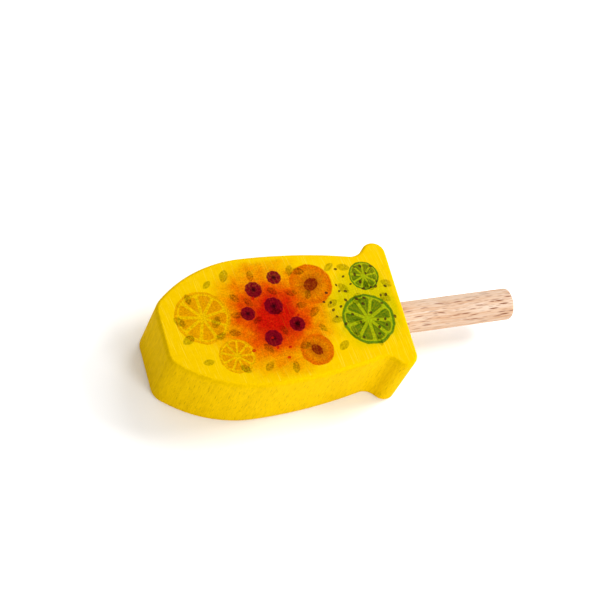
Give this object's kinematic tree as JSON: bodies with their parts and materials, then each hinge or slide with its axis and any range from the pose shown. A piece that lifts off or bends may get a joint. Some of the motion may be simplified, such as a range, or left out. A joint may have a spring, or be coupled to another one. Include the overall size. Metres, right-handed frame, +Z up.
{
  "type": "toy ice lolly",
  "caption": "Wooden toy ice lolly: yellow moulded beech block with a fruit print on its face and a flared foot, on a bare dowel stick.",
  "frame": {"origin": "on the plane of the block's lower face, under the middle of the overall length and width, with the lolly lying flat", "axes": "+X along the stick, away from the block's tip; +Z up, out of the block's printed face; +Y completes the right-handed frame"},
  "size_m": [0.118, 0.0428, 0.0255],
  "materials": {
    "painted_block": "beech stained and lacquered yellow, satin, with a printed upper face",
    "dowel_stick": "bare sanded beech dowel, matt"
  },
  "bodies": {
    "root": {"painted_block": "painted_block", "dowel_stick": "dowel_stick"}
  },
  "joints": []
}
